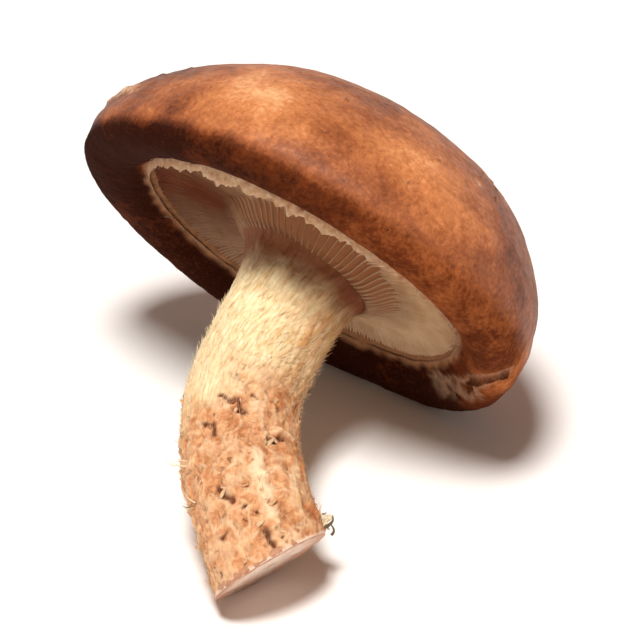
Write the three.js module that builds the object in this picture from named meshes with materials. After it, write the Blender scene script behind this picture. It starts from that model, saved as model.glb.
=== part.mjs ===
// A fresh shiitake mushroom: a domed cap with a rolled-in margin, gills on its under side, and a
// bent stem that was cut off slantwise where it left its log. It grew as one piece, so it is one
// solid. It lies as it comes to rest on a table, on the edge of the cap and the tip of the stem.
import * as THREE from "three";

// Driving dimensions, in millimetres. The mushroom is drawn upright round its cap's axis, which is
// Z. The widest ring of the cap lies at height 0, the crown above it, the gills and stem below.
const CAP_RADIUS = 28;
const CROWN_HEIGHT = 19;
const MARGIN_DEPTH = 3; // how far the rolled margin hangs below the widest ring
const MARGIN_SWING = 1.1; // more than that on its heavy side, and less on the other
const HEAVY_SIDE = 40; // the angle round the cap to the heavy side, in degrees
const LIP_RADIUS = 20.4; // where the rolled margin ends and the gills begin
const LIP_SHIFT = 0.9; // how far the lip's ring lies off the axis
const LIP_SHIFT_SIDE = 270;
const LIP_DEPTH = 0.7;
const LIP_SWING = 0.7;
const LIP_LOW_SIDE = 30;
const GILL_LIFT = 0.9; // how far the edges of the gills lie above the lip
const STEM_RADIUS = 6.5;
const STEM_FLARE = 4; // added to the stem's radius where it meets the gills
const STEM_FLARE_LENGTH = 2.3; // over which that fades to about a third
const TIP_FLARE = 0.45; // the stem widens again towards its cut end
const TIP_FLARE_LENGTH = 9;
const CUT_RUN = 9; // the length over which the stem's rings lean over to the slanted cut

// The cap's outline, in cap radii and degrees. Slow waves make it less than round. One side swells
// out. Another grew flat, and a shallow dent divides that side.
const WAVES = [
  { size: 0.018, lobes: 1, phase: 195 },
  { size: 0.012, lobes: 2, phase: -17 },
  { size: 0.009, lobes: 3, phase: 206 },
  { size: 0.02, lobes: 4, phase: 340 },
];
const SWELL_SIDE = 219; // the angle round the cap to the swelling
const SWELL_SIZE = 0.07;
const SWELL_WIDTH = 24;
const FLAT_SIDE = 95; // the angle round the cap to the flat side
const FLAT_REACH = 0.94; // the distance of the flat side from the axis
const FLAT_SOFTNESS = 0.008; // how gently the flat side runs into the waves
const DENT_DEPTH = 0.012;
const DENT_WIDTH = 9;

// The pose at rest, in degrees: rolled about the cap's axis, tipped over, then turned on the table.
const REST_ROLL = -5.98;
const REST_TILT = -57.07;
const REST_TURN = -34.7;

// How finely the surfaces are divided.
const STEPS_ROUND = 72;
const SKIN_STEPS = 27;
const GILL_STEPS = 4;
const STEM_STEPS = 15;

const CREAM_BROWN = 0xb87a4b;

const radians = THREE.MathUtils.degToRad;
const angles = Array.from(
  { length: STEPS_ROUND },
  (_, step) => (2 * Math.PI * step) / STEPS_ROUND,
);

const CROWN_AT = 1 / 11; // the crown's place on the skin's curve, one of its 11 spans in

// Half of the cap's section at an angle, from the crown round the margin to the lip. Its points are
// shares of the cap's radius, of the crown's height above the widest ring, and of the margin's
// depth below it. The first point mirrors the third, so that the crown is level.
function skinProfile(angle) {
  const depth =
    MARGIN_DEPTH + MARGIN_SWING * Math.cos(angle - radians(HEAVY_SIDE));
  const above = (radius, height) =>
    new THREE.Vector2(radius * CAP_RADIUS, height * CROWN_HEIGHT);
  const below = (radius, share) =>
    new THREE.Vector2(radius * CAP_RADIUS, -share * depth);
  return new THREE.SplineCurve([
    above(-0.28, 0.97),
    above(0, 1),
    above(0.28, 0.97),
    above(0.54, 0.86),
    above(0.76, 0.65),
    above(0.925, 0.385),
    above(0.995, 0.14),
    above(1, 0),
    below(0.984, 0.66),
    below(0.9, 1),
    below(0.81, 0.8),
    lip(angle),
  ]);
}

function lip(angle) {
  return new THREE.Vector2(
    LIP_RADIUS + LIP_SHIFT * Math.cos(angle - radians(LIP_SHIFT_SIDE)),
    -LIP_DEPTH - LIP_SWING * Math.cos(angle - radians(LIP_LOW_SIDE)),
  );
}

// The edges of the gills at an angle, from just inside the lip to the flare of the stem.
function gillProfile(angle) {
  const { x: radius, y: height } = lip(angle);
  return new THREE.SplineCurve([
    new THREE.Vector2(radius - 0.9, height + GILL_LIFT - 0.4),
    new THREE.Vector2(radius - 3.4, height + GILL_LIFT),
    new THREE.Vector2(13.5, height + GILL_LIFT),
    new THREE.Vector2(10.8, height + GILL_LIFT - 0.5),
  ]);
}

// The stem's centre line: straight down from the gills, then bending to one side.
const stemLine = new THREE.CubicBezierCurve3(
  new THREE.Vector3(0, 0, 0.3),
  new THREE.Vector3(0, 0, -20.5),
  new THREE.Vector3(3.2, -5.5, -23.6),
  new THREE.Vector3(17.1, -1.4, -37.4),
);
const STEM_FROM = 0.03; // the first free ring's place along the centre line
const cutNormal = new THREE.Vector3(0.687, 0.532, -0.494).normalize();

// The signed gap between an angle and a side given in degrees, at most half a turn.
function gapFrom(angle, side) {
  const turn = angle - radians(side) + Math.PI;
  return THREE.MathUtils.euclideanModulo(turn, 2 * Math.PI) - Math.PI;
}

const hump = (gap, width) => Math.exp(-((gap / radians(width)) ** 2));

// The distance of the cap's outline from the axis at an angle, in cap radii.
function outline(angle) {
  const wave = WAVES.reduce(
    (sum, { size, lobes, phase }) =>
      sum + size * Math.cos(lobes * angle - radians(phase)),
    1,
  );
  const swollen =
    wave + SWELL_SIZE * hump(gapFrom(angle, SWELL_SIDE), SWELL_WIDTH);
  const offFlat = gapFrom(angle, FLAT_SIDE);
  const flat = FLAT_REACH / Math.max(Math.cos(offFlat), 0.1);
  const gap = Math.abs(swollen - flat) / FLAT_SOFTNESS;
  const nearer =
    Math.min(swollen, flat) - FLAT_SOFTNESS * Math.log1p(Math.exp(-gap));
  return nearer - DENT_DEPTH * hump(offFlat, DENT_WIDTH);
}

// One ring of the cap, through the same place along its section at each angle. The outline's
// unevenness fades towards the axis.
function capRing(profile, at, fade) {
  return angles.map((angle) => {
    const { x: radius, y: height } = profile(angle).getPoint(at);
    const reach = radius * (1 + (outline(angle) - 1) * fade(radius));
    return new THREE.Vector3(
      reach * Math.cos(angle),
      reach * Math.sin(angle),
      height,
    );
  });
}
const skinFade = (radius) => (radius / CAP_RADIUS) ** 1.5;
const gillFade = (radius) =>
  (radius - STEM_RADIUS) / (CAP_RADIUS - STEM_RADIUS);

function skinRings() {
  return Array.from({ length: SKIN_STEPS }, (_, step) => {
    const share = (step + 1) / SKIN_STEPS;
    const at = THREE.MathUtils.lerp(CROWN_AT, 1, share);
    return capRing(skinProfile, at, skinFade);
  });
}

function gillRings() {
  return Array.from({ length: GILL_STEPS + 1 }, (_, step) =>
    capRing(gillProfile, step / GILL_STEPS, gillFade),
  );
}

// The stem's radius at a distance from the gills and a distance from the cut end.
const stemRadius = (fromGills, fromCut) =>
  STEM_RADIUS +
  STEM_FLARE * Math.exp(-fromGills / STEM_FLARE_LENGTH) +
  TIP_FLARE * Math.exp(-fromCut / TIP_FLARE_LENGTH);

// The stem's rings are square to its centre line until the last ones lean over to the cut.
function stemRings() {
  const length = stemLine.getLength();
  const side = new THREE.Vector3(1, 0, 0);
  return Array.from({ length: STEM_STEPS + 1 }, (_, step) => {
    const at = THREE.MathUtils.lerp(STEM_FROM, 1, step / STEM_STEPS);
    const centre = stemLine.getPointAt(at);
    const along = stemLine.getTangentAt(at);
    side.addScaledVector(along, -side.dot(along)).normalize();
    const across = side.clone().cross(along);
    const fromCut = (1 - at) * length;
    const lean = THREE.MathUtils.smoothstep(1 - fromCut / CUT_RUN, 0, 1);
    const facing = along.clone().lerp(cutNormal, lean).normalize();
    const radius = stemRadius(at * length, fromCut);
    return angles.map((angle) => {
      const out = side.clone().multiplyScalar(radius * Math.cos(angle));
      out.addScaledVector(across, radius * Math.sin(angle));
      out.addScaledVector(along, -out.dot(facing) / along.dot(facing));
      return out.add(centre);
    });
  });
}

// One closed surface through all the rings, with a single point at each end.
function loft(firstPoint, rings, lastPoint) {
  const points = [firstPoint, ...rings.flat(), lastPoint];
  const last = points.length - 1;
  const end = rings.length - 1;
  const at = (ring, step) => 1 + ring * STEPS_ROUND + (step % STEPS_ROUND);
  const index = [];
  for (let step = 0; step < STEPS_ROUND; step++) {
    index.push(0, at(0, step), at(0, step + 1));
    for (let ring = 0; ring < end; ring++) {
      index.push(at(ring, step), at(ring + 1, step), at(ring + 1, step + 1));
      index.push(at(ring, step), at(ring + 1, step + 1), at(ring, step + 1));
    }
    index.push(at(end, step), last, at(end, step + 1));
  }
  const geometry = new THREE.BufferGeometry().setFromPoints(points);
  geometry.setIndex(index);
  geometry.computeVertexNormals();
  return geometry;
}

const mushroom = new THREE.Mesh(
  loft(
    new THREE.Vector3(0, 0, CROWN_HEIGHT),
    [...skinRings(), ...gillRings(), ...stemRings()],
    stemLine.getPointAt(1),
  ),
  new THREE.MeshStandardMaterial({
    color: CREAM_BROWN,
    roughness: 0.6,
    metalness: 0,
  }),
);
mushroom.name = "mushroom";

const rolled = new THREE.Group();
rolled.rotation.z = radians(REST_ROLL);
rolled.add(mushroom);
const tipped = new THREE.Group();
tipped.rotation.x = radians(REST_TILT);
tipped.add(rolled);
const turned = new THREE.Group();
turned.rotation.z = radians(REST_TURN);
turned.add(tipped);

// The origin is on the table, under the middle of the mushroom's bounding box.
const box = new THREE.Box3().setFromObject(turned, true);
const middle = box.getCenter(new THREE.Vector3());
turned.position.set(-middle.x, -middle.y, -box.min.z);

const part = new THREE.Group();
part.add(turned);

export default part;
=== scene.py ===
"""A fresh shiitake mushroom, lying on the edge of its cap and the tip of its stem.

Shapes are worked out in the mushroom's own frame, in millimetres: the cap's axis is Z, the widest
ring of the cap lies at height 0, the crown above it, the gills and stem below. They are then laid
in the row frame, in metres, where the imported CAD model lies.
"""

from math import cos, pi, radians, sin, sqrt

import bpy
import numpy as np
from mathutils import Matrix, Vector


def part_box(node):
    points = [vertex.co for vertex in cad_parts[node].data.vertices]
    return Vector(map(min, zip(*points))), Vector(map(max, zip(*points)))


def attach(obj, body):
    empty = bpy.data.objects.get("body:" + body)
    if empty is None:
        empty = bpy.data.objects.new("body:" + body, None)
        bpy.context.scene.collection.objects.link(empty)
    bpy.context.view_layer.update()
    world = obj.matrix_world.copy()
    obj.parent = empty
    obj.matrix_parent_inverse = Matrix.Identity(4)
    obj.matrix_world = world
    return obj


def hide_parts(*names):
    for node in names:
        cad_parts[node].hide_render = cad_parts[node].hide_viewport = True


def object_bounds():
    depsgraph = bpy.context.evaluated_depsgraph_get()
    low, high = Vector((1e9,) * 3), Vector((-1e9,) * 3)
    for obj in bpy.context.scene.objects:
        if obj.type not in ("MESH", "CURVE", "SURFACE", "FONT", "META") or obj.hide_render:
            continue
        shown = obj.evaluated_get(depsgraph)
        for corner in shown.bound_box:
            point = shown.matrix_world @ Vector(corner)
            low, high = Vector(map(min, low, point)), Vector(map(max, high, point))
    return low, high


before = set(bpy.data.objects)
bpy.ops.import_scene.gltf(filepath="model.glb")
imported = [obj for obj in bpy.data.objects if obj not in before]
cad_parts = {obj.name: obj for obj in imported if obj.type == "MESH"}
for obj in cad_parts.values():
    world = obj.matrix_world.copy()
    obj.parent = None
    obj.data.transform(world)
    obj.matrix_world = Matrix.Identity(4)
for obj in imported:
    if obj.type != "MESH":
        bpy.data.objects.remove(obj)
cad_low, cad_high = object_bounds()

MM = 0.001
NODE = "mushroom"

# ---- The mushroom's dimensions, as in the CAD model.

CAP_RADIUS = 28
CROWN_HEIGHT = 19
MARGIN_DEPTH = 3
MARGIN_SWING = 1.1
HEAVY_SIDE = 40
LIP_RADIUS = 20.4
LIP_SHIFT = 0.9
LIP_SHIFT_SIDE = 270
LIP_DEPTH = 0.7
LIP_SWING = 0.7
LIP_LOW_SIDE = 30
GILL_LIFT = 0.9
STEM_RADIUS = 6.5
STEM_FLARE = 4
STEM_FLARE_LENGTH = 2.3
TIP_FLARE = 0.45
TIP_FLARE_LENGTH = 9
CUT_RUN = 9
WAVES = ((0.018, 1, 195), (0.012, 2, -17), (0.009, 3, 206), (0.02, 4, 340))
SWELL_SIDE = 219
SWELL_SIZE = 0.07
SWELL_WIDTH = 24
FLAT_SIDE = 95
FLAT_REACH = 0.94
FLAT_SOFTNESS = 0.008
DENT_DEPTH = 0.012
DENT_WIDTH = 9
REST_ROLL = -5.98
REST_TILT = -57.07
REST_TURN = -34.7
CROWN_AT = 1 / 11
STEM_LINE = ((0, 0, 0.3), (0, 0, -20.5), (3.2, -5.5, -23.6), (17.1, -1.4, -37.4))
STEM_FROM = 0.03
CUT_NORMAL = (0.687, 0.532, -0.494)
CAD_STEPS_ROUND = 72
CAD_SKIN_STEPS = 27
CAD_STEM_STEPS = 15


def norm(vectors):
    return np.linalg.norm(vectors, axis=-1)


def unit(vectors):
    return vectors / norm(vectors)[..., None]


def smoothstep(low, high, value):
    share = np.clip((value - low) / (high - low), 0, 1)
    return share * share * (3 - 2 * share)


def mix(first, second, share):
    return first + (second - first) * share


def bump(gap, width):
    return np.exp(-((gap / width) ** 2))


def round_turn(count):
    """Angles that divide a full turn evenly."""
    return np.arange(count) * 2 * pi / count


def angle_gap(angle, degrees):
    """The signed gap from a direction given in degrees, between half a turn back and forward."""
    return (angle - radians(degrees) + pi) % (2 * pi) - pi


def walked(curve):
    """How far along a curve each of its points lies."""
    return np.concatenate([[0], np.cumsum(norm(np.diff(curve, axis=0)))])


def read_rows(at, places, rows):
    """Rows that belong to places along a curve, read off at others between them."""
    return np.stack([np.interp(at, places, rows[:, i]) for i in range(rows.shape[1])], -1)


def spline(points, at):
    """Places along Catmull-Rom curves: points is curves x points x 2, the result at x curves x 2."""
    spans = points.shape[-2] - 1
    place = np.clip(at, 0, 1) * spans
    first = np.minimum(place.astype(int), spans - 1)
    w = (place - first)[:, None, None]
    before, after = np.maximum(first - 1, 0), np.minimum(first + 2, spans)
    curves = np.moveaxis(points, -2, 0)
    p0, p1, p2, p3 = curves[before], curves[first], curves[first + 1], curves[after]
    v0, v1 = (p2 - p0) / 2, (p3 - p1) / 2
    cubic = (2 * p1 - 2 * p2 + v0 + v1) * w**3
    return cubic + (-3 * p1 + 3 * p2 - 2 * v0 - v1) * w**2 + v0 * w + p1


def outline(angle):
    wave = 1 + sum(size * np.cos(lobes * angle - radians(phase)) for size, lobes, phase in WAVES)
    wave = wave + SWELL_SIZE * bump(angle_gap(angle, SWELL_SIDE), radians(SWELL_WIDTH))
    off = angle_gap(angle, FLAT_SIDE)
    flat = FLAT_REACH / np.maximum(np.cos(off), 0.1)
    soft = np.log1p(np.exp(-np.abs(wave - flat) / FLAT_SOFTNESS))
    return np.minimum(wave, flat) - FLAT_SOFTNESS * soft - DENT_DEPTH * bump(off, radians(DENT_WIDTH))


def lip(angle):
    radius = LIP_RADIUS + LIP_SHIFT * np.cos(angle - radians(LIP_SHIFT_SIDE))
    return radius, -LIP_DEPTH - LIP_SWING * np.cos(angle - radians(LIP_LOW_SIDE))


def skin_sections(angle):
    """The control points of the cap's section at each angle, from the crown to the lip."""
    depth = MARGIN_DEPTH + MARGIN_SWING * np.cos(angle - radians(HEAVY_SIDE))
    above = ((-0.28, 0.97), (0, 1), (0.28, 0.97), (0.54, 0.86), (0.76, 0.65), (0.925, 0.385))
    above += ((0.995, 0.14), (1, 0))
    below = ((0.984, 0.66), (0.9, 1), (0.81, 0.8))
    points = [(r * CAP_RADIUS + 0 * angle, h * CROWN_HEIGHT + 0 * angle) for r, h in above]
    points += [(r * CAP_RADIUS + 0 * angle, -share * depth) for r, share in below]
    points.append(lip(angle))
    return np.moveaxis(np.array(points), 2, 0)


def skin_fade(radius):
    return (radius / CAP_RADIUS) ** 1.5


def gill_fade(radius):
    return (radius - STEM_RADIUS) / (CAP_RADIUS - STEM_RADIUS)


def around(radius, height, angle, fade=gill_fade):
    """Points at radii and heights round the axis, with the outline's unevenness."""
    reach = radius * (1 + (outline(angle) - 1) * fade(radius))
    return np.stack([reach * np.cos(angle), reach * np.sin(angle), height + 0 * reach], -1)


LINE_STEPS = 600


def stem_line():
    """The stem's centre line by arc length: the lengths, the points, and the directions along it,
    to its side and across, which don't twist."""
    t = np.linspace(0, 1, 4001)[:, None]
    p0, p1, p2, p3 = np.array(STEM_LINE, float)
    curve = (1 - t) ** 3 * p0 + 3 * (1 - t) ** 2 * t * p1 + 3 * (1 - t) * t**2 * p2 + t**3 * p3
    walk = walked(curve)
    s = np.linspace(0, walk[-1], LINE_STEPS + 1)
    points = read_rows(s, walk, curve)
    along = unit(np.gradient(points, axis=0))
    side = np.zeros_like(along)
    aside = np.array((1.0, 0, 0))
    for k, ahead in enumerate(along):
        aside = unit(aside - ahead * aside.dot(ahead))
        side[k] = aside
    return s, points, along, side, np.cross(side, along)


line_s, line_points, line_along, line_side, line_across = stem_line()
STEM_LENGTH = line_s[-1]
cut_normal = unit(np.array(CUT_NORMAL))


def line_at(s, rows):
    return read_rows(s, line_s, rows)


def stem_place(s, angle, rise=0.0):
    """Points on the stem at lengths and angles, raised from its plain surface, and their outward
    and lengthways directions."""
    s, angle = np.broadcast_arrays(np.asarray(s, float), np.asarray(angle, float))
    centre = line_at(s, line_points)
    along = unit(line_at(s, line_along))
    side, across = line_at(s, line_side), line_at(s, line_across)
    from_cut = STEM_LENGTH - s
    lean = smoothstep(0, 1, 1 - from_cut / CUT_RUN)[..., None]
    facing = unit(along * (1 - lean) + cut_normal * lean)
    flare = STEM_FLARE * np.exp(-np.maximum(s, 0.9) / STEM_FLARE_LENGTH)
    radius = STEM_RADIUS + flare + TIP_FLARE * np.exp(-from_cut / TIP_FLARE_LENGTH) + rise
    out = side * np.cos(angle)[..., None] + across * np.sin(angle)[..., None]
    arm = out * np.asarray(radius)[..., None]
    arm = arm - along * ((arm * facing).sum(-1) / (along * facing).sum(-1))[..., None]
    return centre + arm, out, along


# ---- The pose at rest, and the place in the row frame.

rest = np.array(
    Matrix.Rotation(radians(REST_TURN), 3, "Z")
    @ Matrix.Rotation(radians(REST_TILT), 3, "X")
    @ Matrix.Rotation(radians(REST_ROLL), 3, "Z")
)


def plain_points():
    """The CAD model's own points on the skin and stem, whose lowest corner places the mushroom."""
    angle = round_turn(CAD_STEPS_ROUND)
    at = mix(CROWN_AT, 1, np.arange(1, CAD_SKIN_STEPS + 1) / CAD_SKIN_STEPS)
    section = spline(skin_sections(angle), at)
    skin = around(section[..., 0], section[..., 1], angle[None], skin_fade)
    s = mix(STEM_FROM, 1, np.arange(CAD_STEM_STEPS + 1) / CAD_STEM_STEPS) * STEM_LENGTH
    stem, _, _ = stem_place(s[:, None], angle[None])
    return np.concatenate([skin.reshape(-1, 3), stem.reshape(-1, 3)])


offset = np.array(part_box(NODE)[0]) / MM - (plain_points() @ rest.T).min(0)

# Directions in the picture, in the mushroom's own frame.
rightward = rest.T @ np.array((1.0, 0, 0))
upward = rest.T @ np.array((0, 0.5446, 0.8387))


def in_row(points):
    """Own-frame millimetres to row-frame metres, kept just clear of the table."""
    placed = np.asarray(points) @ rest.T + offset
    placed[..., 2] = np.maximum(placed[..., 2], 0.01)
    return placed * MM


# ---- Smooth noise, for shapes.


def noise(points, size, seed):
    """Gradient noise of about -1 to 1 at points, with bumps of about that size."""
    draw = np.random.default_rng(seed)
    table = draw.permutation(256)
    table = np.concatenate([table, table, table])
    slopes = unit(draw.normal(size=(256, 3)))
    scaled = np.asarray(points, float) / np.asarray(size, float)
    cell = np.floor(scaled).astype(int)
    within = scaled - cell
    cell &= 255
    ease = within**3 * (within * (within * 6 - 15) + 10)
    total = np.zeros(scaled.shape[:-1])
    for corner in np.ndindex(2, 2, 2):
        hashed = table[cell[..., 0] + corner[0]]
        hashed = table[hashed + (cell[..., 1] + corner[1] & 255)]
        hashed = table[hashed + (cell[..., 2] + corner[2] & 255)]
        weight = np.prod(np.where(corner, ease, 1 - ease), -1)
        total += weight * (slopes[hashed] * (within - corner)).sum(-1)
    return total * 1.6


def stirred(points, size, seed):
    """Three noises at points, to shift them by."""
    return np.stack([noise(points, size, seed + k) for k in range(3)], -1)


def mark(points, spot, size):
    """1 at a spot, fading to 0 round it."""
    return bump(norm(points - np.array(spot)), size)


def off_line(points, path):
    """The distance of points from a path of straight stretches."""
    best = np.full(points.shape[:-1], 1e9)
    for start, end in zip(np.array(path[:-1], float), np.array(path[1:], float)):
        run = end - start
        share = np.clip(((points - start) @ run) / (run @ run), 0, 1)
        best = np.minimum(best, norm(points - start - share[..., None] * run))
    return best


# ---- Meshes.


def grid_normals(points):
    """Outward normals of a grid of rings: rows run along the surface, columns round it."""
    down = np.gradient(points, axis=0)
    aside = np.roll(points, -1, axis=1) - np.roll(points, 1, axis=1)
    return unit(np.cross(down, aside) + 1e-12)


def ring_faces(rows, columns, start=0):
    row, column = np.meshgrid(np.arange(rows - 1), np.arange(columns), indexing="ij")
    beside = (column + 1) % columns
    here, below = row * columns, (row + 1) * columns
    quad = [here + column, below + column, below + beside, here + beside]
    return (np.stack(quad, -1).reshape(-1, 4) + start).tolist()


def fan(tip, ring, columns, flip):
    """The triangles from one point to a ring."""
    faces = []
    for column in range(columns):
        a, b = ring * columns + column, ring * columns + (column + 1) % columns
        faces.append([tip, b, a] if flip else [tip, a, b])
    return faces


def closed_faces(rows, columns):
    """Outward faces of a grid of rings whose ends close on two more points, first and last."""
    faces = ring_faces(rows, columns)
    faces += fan(rows * columns, 0, columns, False)
    faces += fan(rows * columns + 1, rows - 1, columns, True)
    return [face[::-1] for face in faces]


def add_object(name, data):
    made = bpy.data.objects.new(name, data)
    bpy.context.scene.collection.objects.link(made)
    return made


def smooth_mesh(name, points, faces, material):
    mesh = bpy.data.meshes.new(name)
    mesh.from_pydata(points.tolist(), [], faces)
    mesh.validate()
    mesh.polygons.foreach_set("use_smooth", [True] * len(mesh.polygons))
    mesh.materials.append(material)
    return mesh


def build(name, points, faces, material, attributes):
    """One piece of the mushroom from own-frame points, with its values for the material."""
    mesh = smooth_mesh(name, in_row(points), faces, material)
    for key, values in attributes.items():
        values = np.asarray(values, np.float32)
        kind, field = ("FLOAT_VECTOR", "vector") if values.ndim == 2 else ("FLOAT", "value")
        layer = mesh.attributes.new(key, kind, "POINT")
        layer.data.foreach_set(field, values.ravel())
    mesh.update()
    piece = add_object(name, mesh)
    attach(piece, "root")
    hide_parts(NODE)


# ---- Materials.

SCATTER_REACH = 1.2  # how far light spreads inside the flesh


def colour(red, green, blue):
    """A display colour of 0 to 255 as linear light."""
    shares = [c / 255 for c in (red, green, blue)]
    return (*[s / 12.92 if s <= 0.04 else ((s + 0.055) / 1.055) ** 2.4 for s in shares], 1)


class Finish:
    """A node material, with short calls for the nodes it is made of."""

    def __init__(self, name, roughness, specular, subsurface=0.0, scatter=(1, 0.5, 0.25)):
        self.material = bpy.data.materials.new(name)
        self.material.use_nodes = True
        self.tree = self.material.node_tree
        self.shader = self.tree.nodes["Principled BSDF"]
        self.base = None
        self.shade("Roughness", roughness)
        self.shade("Specular IOR Level", specular)
        self.shade("Subsurface Weight", subsurface)
        self.shade("Subsurface Radius", scatter)
        self.shade("Subsurface Scale", SCATTER_REACH * MM)

    def fill(self, socket, value):
        """Links an input to another node's output, or sets it to a plain value."""
        if isinstance(value, bpy.types.NodeSocket):
            self.tree.links.new(value, socket)
        else:
            socket.default_value = value

    def shade(self, name, value):
        self.fill(self.shader.inputs[name], value)

    def node(self, kind, inputs, **settings):
        made = self.tree.nodes.new("ShaderNode" + kind)
        for key, value in settings.items():
            setattr(made, key, value)
        for key, value in inputs.items():
            self.fill(made.inputs[key], value)
        return made

    def value(self, name):
        return self.node("Attribute", {}, attribute_name=name).outputs["Fac"]

    def where(self, name="own"):
        return self.node("Attribute", {}, attribute_name=name).outputs["Vector"]

    def noise(self, vector, scale, detail=4.0, rough=0.55, warp=0.0):
        shape = {"Scale": scale, "Detail": detail, "Roughness": rough, "Distortion": warp}
        return self.node("TexNoise", {"Vector": vector, **shape}).outputs["Fac"]

    def cells(self, vector, scale, feature="F1"):
        made = self.node("TexVoronoi", {"Vector": vector, "Scale": scale}, feature=feature)
        return made.outputs["Distance"]

    def ramp(self, factor, *stops):
        made = self.node("ValToRGB", {"Fac": factor})
        elements = made.color_ramp.elements
        while len(elements) < len(stops):
            elements.new(0.5)
        for element, (at, value) in zip(elements, stops):
            element.position = at
            element.color = value if isinstance(value, tuple) else (value, value, value, 1)
        return made.outputs["Color"]

    def blend(self, factor, first, second, mode="MIX"):
        inputs = {0: factor, 6: first, 7: second}
        return self.node("Mix", inputs, data_type="RGBA", blend_type=mode).outputs[2]

    def coat(self, factor, over, mode="MIX"):
        """Lays a colour over the base, as far as the factor says."""
        self.base = self.blend(factor, self.base, over, mode)

    def maths(self, operation, first, second, clamp=False):
        made = self.node("Math", {0: first, 1: second}, operation=operation, use_clamp=clamp)
        return made.outputs[0]

    def times(self, first, second):
        return self.maths("MULTIPLY", first, second)

    def swung(self, value, noise, size, clamp=False):
        """A value, moved up and down by a noise about its middle."""
        return self.maths("ADD", value, self.times(self.maths("SUBTRACT", noise, 0.5), size), clamp)

    def done(self, *bumps):
        """The material with its base colour, and bumps of (height, strength, distance in mm), the
        coarsest first."""
        self.shade("Base Color", self.base)
        inputs = {}
        for height, strength, distance in bumps:
            inputs |= {"Height": height, "Strength": strength, "Distance": distance * MM}
            inputs["Normal"] = self.node("Bump", inputs).outputs["Normal"]
            self.shade("Normal", inputs["Normal"])
        return self.material


def skin_finish():
    skin = Finish("cap_skin", 0.5, 0.45, 0.12, (1, 0.35, 0.15))
    own = skin.where()
    grain = skin.noise(own, 1.7, 6, 0.62, 0.4)
    shade = skin.swung(skin.value("tone_and_light"), skin.noise(own, 0.28, 5, 0.6, 0.5), 0.55)
    shade = skin.swung(shade, grain, 0.55)
    skin.base = skin.ramp(
        shade,
        (0.0, colour(46, 17, 7)),
        (0.26, colour(98, 46, 20)),
        (0.5, colour(154, 86, 45)),
        (0.74, colour(203, 128, 76)),
        (1.0, colour(240, 184, 130)),
    )
    fleck = skin.ramp(skin.noise(own, 5.5, 3, 0.6), (0.56, 0.0), (0.72, 1.0))
    skin.coat(skin.times(fleck, 0.3), colour(120, 62, 30))
    spots = skin.ramp(skin.cells(own, 0.62), (0.055, 1.0), (0.105, 0.0))
    spots = skin.times(spots, skin.ramp(skin.noise(own, 0.16, 2), (0.5, 0.0), (0.62, 1.0)))
    skin.coat(skin.times(spots, 0.8), colour(62, 28, 14))
    # Painted shade in the pits and the crack.
    skin.coat(skin.value("dark"), colour(48, 20, 10))
    pale = skin.times(skin.value("pale"), skin.ramp(grain, (0.3, 0.55), (0.6, 1.0)))
    skin.coat(pale, colour(224, 184, 150))
    inner = skin.blend(skin.noise(own, 1.1, 4), colour(128, 82, 54), colour(190, 142, 104))
    # Painted shade on the flesh between the gills.
    inner = skin.blend(skin.value("web"), inner, colour(150, 100, 68))
    skin.coat(skin.value("inside"), inner)
    under = skin.value("under")
    sheen = skin.ramp(skin.noise(own, 0.8, 4), (0.3, 0.44), (0.7, 0.66))
    skin.shade("Roughness", skin.blend(under, sheen, (0.9, 0.9, 0.9, 1)))
    skin.shade("Specular IOR Level", skin.maths("SUBTRACT", 0.32, skin.times(under, 0.28)))
    return skin.done(
        (skin.cells(own, 2.6, "SMOOTH_F1"), 0.12, 0.3),
        (grain, 0.3, 0.28),
        (skin.noise(own, 9, 3, 0.6), 0.2, 0.06),
        (spots, -0.5, 0.25),
    )


def gill_finish():
    gills = Finish("gills", 0.75, 0.3, 0.2, (1, 0.6, 0.35))
    own = gills.where()
    patch = gills.noise(own, 0.35, 4, 0.6)
    gills.base = gills.ramp(patch, (0.3, colour(206, 164, 126)), (0.7, colour(232, 200, 164)))
    # Painted shade deep between the plates, up by the flesh.
    gills.coat(gills.value("depth"), colour(158, 104, 68))
    stain = gills.ramp(gills.noise(own, 0.9, 4, 0.6), (0.6, 0.0), (0.78, 0.5))
    gills.coat(stain, colour(160, 104, 64))
    # Painted shade on one side of the gills and round the stem.
    gills.coat(gills.value("painted_gill_shade"), colour(104, 58, 36), "MULTIPLY")
    return gills.done((gills.noise(own, 4.5, 4), 0.3, 0.12))


def veil_finish():
    veil = Finish("veil", 0.85, 0.25, 0.3, (1, 0.7, 0.45))
    own = veil.where()
    veil.base = veil.ramp(
        veil.noise(own, 1.3, 4, 0.6),
        (0.3, colour(186, 136, 100)),
        (0.55, colour(220, 180, 144)),
        (0.75, colour(240, 212, 182)),
    )
    veil.base = veil.blend(veil.value("ridge"), colour(132, 84, 54), veil.base)
    return veil.done((veil.noise(own, 6, 4), 0.4, 0.12))


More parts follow.
